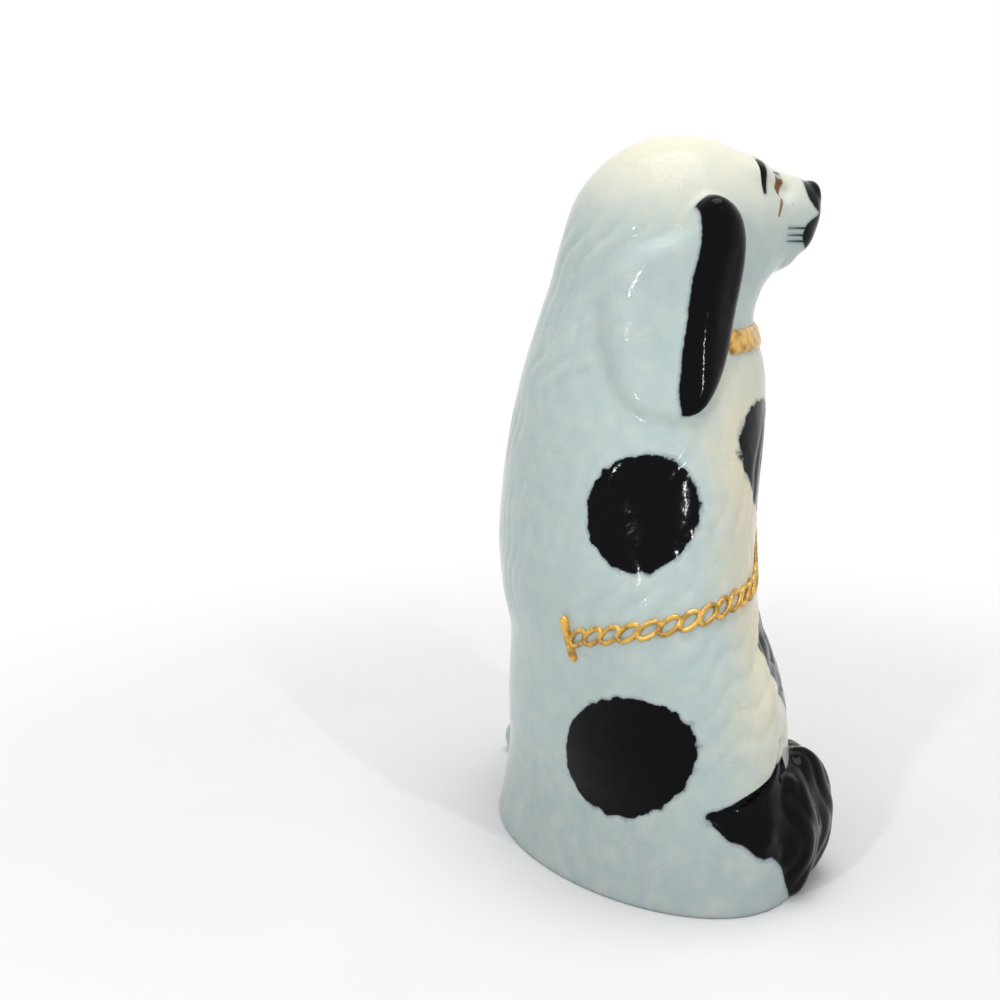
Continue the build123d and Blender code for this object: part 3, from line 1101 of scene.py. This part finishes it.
# Chain
# Twisted oval links in low relief, each overlapping the next, that fall from the lock across the
# breast and wind round the spine. Gold is brushed along each link.
chain_angles = (-84.0, -216.0)
chain_start_z = 201.0
chain_level_z = 125.0
chain_end_z = 107.0
chain_level_share = 0.624
chain_fall = 2.2
chain_droop = 1.3
link_pitch = 8.2
link_length = 12.0
link_width = 6.8
link_bar = 2.0
link_twist = 24.0
link_lift = 0.55


def chain_line(shares):
    """Points on the chain's line, and the outward directions there."""
    before = np.maximum(1 - shares / chain_level_share, 0)
    beyond = np.maximum(shares - chain_level_share, 0) / (1 - chain_level_share)
    heights = chain_level_z + (chain_start_z - chain_level_z) * before**chain_fall
    heights -= (chain_level_z - chain_end_z) * beyond**chain_droop
    return on_skin(chain_angles[0] + (chain_angles[1] - chain_angles[0]) * shares, heights)


samples = np.linspace(0, 1, 400)
line_spots, _ = chain_line(samples)
line_run = np.concatenate([[0.0], np.cumsum(np.linalg.norm(np.diff(line_spots, axis=0), axis=1))])
link_count = round((line_run[-1] - link_length) / link_pitch) + 1
link_places = np.linspace(link_length / 2, line_run[-1] - link_length / 2, link_count)
link_shares = np.interp(link_places, line_run, samples)
link_spots, link_out = chain_line(link_shares)
link_ahead, _ = chain_line(link_shares + 0.004)
line_mesh = bpy.data.meshes.new("gilt_chain")
line_mesh.from_pydata((link_spots + link_lift * link_out) * MM, [], [])
for label, vectors in (("outward", link_out), ("along", link_ahead - link_spots)):
    layer = line_mesh.attributes.new(label, "FLOAT_VECTOR", "POINT")
    layer.data.foreach_set("vector", vectors.astype(np.float32).ravel())

links = bpy.data.node_groups.new("links_on_a_line", "GeometryNodeTree")
for label, kind in (
    ("Geometry", "NodeSocketGeometry"),
    ("Link Length", "NodeSocketFloat"),
    ("Link Width", "NodeSocketFloat"),
    ("Bar Thickness", "NodeSocketFloat"),
    ("Twist", "NodeSocketFloat"),
    ("Gold", "NodeSocketMaterial"),
):
    links.interface.new_socket(label, in_out="INPUT", socket_type=kind)
links.interface.new_socket("Geometry", in_out="OUTPUT", socket_type="NodeSocketGeometry")
step = Signal(links)
inputs = links.nodes.new("NodeGroupInput")
given = {socket.name: Signal(links, socket) for socket in inputs.outputs if socket.name}
oval_line = step.node("GeometryNodeCurvePrimitiveCircle", None, {"Resolution": 28, "Radius": 0.5})
size = {"X": given["Link Length"], "Y": given["Link Width"], "Z": 1.0}
size = step.node("ShaderNodeCombineXYZ", None, size)
oval_line = step.node("GeometryNodeTransform", None, {"Geometry": oval_line, "Scale": size})
bar = {"Resolution": 10, "Radius": given["Bar Thickness"] * 0.5}
bar = step.node("GeometryNodeCurvePrimitiveCircle", None, bar)
link = step.node("GeometryNodeCurveToMesh", None, {"Curve": oval_line, "Profile Curve": bar})
link = step.node("GeometryNodeSetShadeSmooth", None, {"Geometry": link})
vector = {"data_type": "FLOAT_VECTOR"}
out_of_skin = step.node("GeometryNodeInputNamedAttribute", vector, {"Name": "outward"})
along_line = step.node("GeometryNodeInputNamedAttribute", vector, {"Name": "along"})
axes = {"primary_axis": "Z", "secondary_axis": "X"}
seat = step.node("FunctionNodeAxesToRotation", axes, {0: out_of_skin, 1: along_line})
turn = {"Axis": (0, 0, 1), "Angle": given["Twist"]}
turn = step.node("FunctionNodeAxisAngleToRotation", None, turn)
local = {"rotation_space": "LOCAL"}
seat = step.node("FunctionNodeRotateRotation", local, {"Rotation": seat, "Rotate By": turn})
placed = {"Points": given["Geometry"], "Instance": link, "Rotation": seat}
placed = step.node("GeometryNodeInstanceOnPoints", None, placed)
placed = step.node("GeometryNodeRealizeInstances", None, {"Geometry": placed})
placed = step.node("GeometryNodeSetMaterial", None, {"Geometry": placed, "Material": given["Gold"]})
step.node("NodeGroupOutput", None, {"Geometry": placed}, None)

line_piece = bpy.data.objects.new("gilt_chain", line_mesh)
bpy.context.scene.collection.objects.link(line_piece)
maker = line_piece.modifiers.new("links", "NODES")
maker.node_group = links
for label, value in (
    ("Link Length", (link_length - link_bar) * MM),
    ("Link Width", (link_width - link_bar) * MM),
    ("Bar Thickness", link_bar * MM),
    ("Twist", math.radians(link_twist)),
    ("Gold", gilding),
):
    socket = next(s for s in links.interface.items_tree if s.name == label and s.in_out == "INPUT")
    maker[socket.identifier] = value
bpy.context.view_layer.update()
evaluated = line_piece.evaluated_get(bpy.context.evaluated_depsgraph_get())
chain_mesh = bpy.data.meshes.new_from_object(evaluated)
line_piece.modifiers.remove(maker)
line_piece.data = chain_mesh
bpy.data.meshes.remove(line_mesh)
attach(line_piece, "root")
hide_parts("chain_links")

# Chain bar
# A short bar across the end of the chain, with rounded ends. It is raised in the mould like the
# links and gilt with them.
bar_length = 19.0
bar_width = 3.6
bar_relief = 2.6
end_spot, end_out = chain_line(np.array([1.0]))
end_ahead, _ = chain_line(np.array([1.004]))
end_out = Vector(end_out[0])
end_along = Vector(end_ahead[0] - end_spot[0])
end_across = end_out.cross(end_along).normalized()
end_along = end_across.cross(end_out)
bar_steps = 16
bar_spots = []
for place_along in np.linspace(-1, 1, 25):
    share = max(1 - abs(place_along) ** 8, 0.03) ** 0.5 * (0.9 + 0.1 * place_along**2)
    for step in range(bar_steps):
        turn = 2 * math.pi * step / bar_steps
        aside = share * math.cos(turn) * bar_width / 2
        above = share * math.sin(turn) * bar_relief
        spot = Vector(end_spot[0]) + end_across * place_along * bar_length / 2
        bar_spots.append(spot + end_along * aside + end_out * above)
gilt_piece("gilt_bar", bar_spots, bar_steps, "chain_bar")

# Base slab
# A slab of the same clay that closes the foot, with a vent hole for the kiln. It is luted in
# before the firing and left unglazed, so it is matt and a little stained.
clay, start = new_material("unglazed_clay")
place = start.node("ShaderNodeTexCoord", output="Object")
grain = noise(place, 900.0, 4.0)
stain = noise(place, 40.0, 3.0)
colour = stain.fade(0.35, 0.70).blend((0.72, 0.66, 0.55, 1.0), (0.56, 0.48, 0.37, 1.0))
bump = start.node("ShaderNodeBump", None, {"Strength": 0.3, "Distance": 0.0004, "Height": grain})
feed(clay, Base_Color=colour, Roughness=0.75 + grain * 0.2, Normal=bump)
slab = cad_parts["base_slab"]
slab.data.materials.clear()
slab.data.materials.append(clay)

# Studio
# White paper under the figure, two small lamps, a broad light above and a white room. The paper
# keeps the shadow near the figure and is plain white further off, to the eye and in the gloss.
floor_reach = 6.0
shadow_end = 0.16
white_start = 0.50
floor_corners = [(a * floor_reach, b * floor_reach, 0) for a, b in ((-1, -1), (1, -1), (1, 1), (-1, 1))]
floor_mesh = bpy.data.meshes.new("floor")
floor_mesh.from_pydata(floor_corners, [], [(0, 1, 2, 3)])
floor = bpy.data.objects.new("floor", floor_mesh)
bpy.context.scene.collection.objects.link(floor)
paper, start = new_material("studio_paper")
place = start.node("ShaderNodeTexCoord", output="Object")
away = start.node("ShaderNodeVectorMath", {"operation": "LENGTH"}, {0: place}, "Value")
seen = start.node("ShaderNodeLightPath", output="Is Camera Ray")
mirrored = start.node("ShaderNodeLightPath", output="Is Glossy Ray")
through = start.node("ShaderNodeLightPath", output="Is Transmission Ray")
shown = seen.most(mirrored).most(through)
grain = noise(place, 14.0, 2.0)
tone = grain.blend((0.86, 0.86, 0.86, 1.0), (0.90, 0.90, 0.90, 1.0))
feed(paper, Base_Color=tone, Roughness=0.9, Specular_IOR_Level=0.0)
glow = start.node("ShaderNodeEmission", None, {"Color": (1.0, 1.0, 1.0, 1.0), "Strength": 1.0})
far = away.fade(shadow_end, white_start) * shown
matt = Signal(paper.node_tree, finish_of(paper).outputs["BSDF"])
sheet = start.node("ShaderNodeMixShader", None, {0: far, 1: matt, 2: glow})
paper.node_tree.links.new(sheet.socket, paper.node_tree.nodes["Material Output"].inputs["Surface"])
floor_mesh.materials.append(paper)


def softbox(name, place, size, power):
    """A square light that faces the middle of the figure."""
    lamp = bpy.data.lights.new(name, "AREA")
    lamp.energy = power
    lamp.size = size
    light = bpy.data.objects.new(name, lamp)
    light.location = place
    light.rotation_euler = (figure_middle - Vector(place)).to_track_quat("-Z", "Y").to_euler()
    bpy.context.scene.collection.objects.link(light)


figure_middle = Vector((0, 0, 0.15))
room_light = 0.48
softbox("window", (-0.80, 0.86, 0.78), 0.06, 3.0)
softbox("lamp", (-1.15, -0.35, 1.10), 0.05, 3.0)
softbox("top", (0.0, -0.05, 1.6), 0.9, 11.5)
world = bpy.data.worlds.new("studio")
world.use_nodes = True
start = Signal(world.node_tree)
seen = start.node("ShaderNodeLightPath", output="Is Camera Ray")
through = start.node("ShaderNodeLightPath", output="Is Transmission Ray")
mirrored = start.node("ShaderNodeLightPath", output="Is Glossy Ray")
shown = seen.most(mirrored).most(through)
strength = shown + (1.0 - shown) * room_light
backdrop = world.node_tree.nodes["Background"]
backdrop.inputs["Color"].default_value = (1.0, 1.0, 1.0, 1.0)
world.node_tree.links.new(strength.socket, backdrop.inputs["Strength"])
bpy.context.scene.world = world

camera = bpy.data.objects.new("camera", bpy.data.cameras.new("camera"))
camera.location = (-0.65952, 0.24507, 0.300)
camera.rotation_euler = Vector((0.94661, -0.24270, -0.21218)).to_track_quat("-Z", "Y").to_euler()
camera.data.sensor_width = 36.0
camera.data.lens = 36.0 * 1.6275
bpy.context.scene.collection.objects.link(camera)
bpy.context.scene.camera = camera
bpy.context.scene.view_settings.view_transform = "Standard"
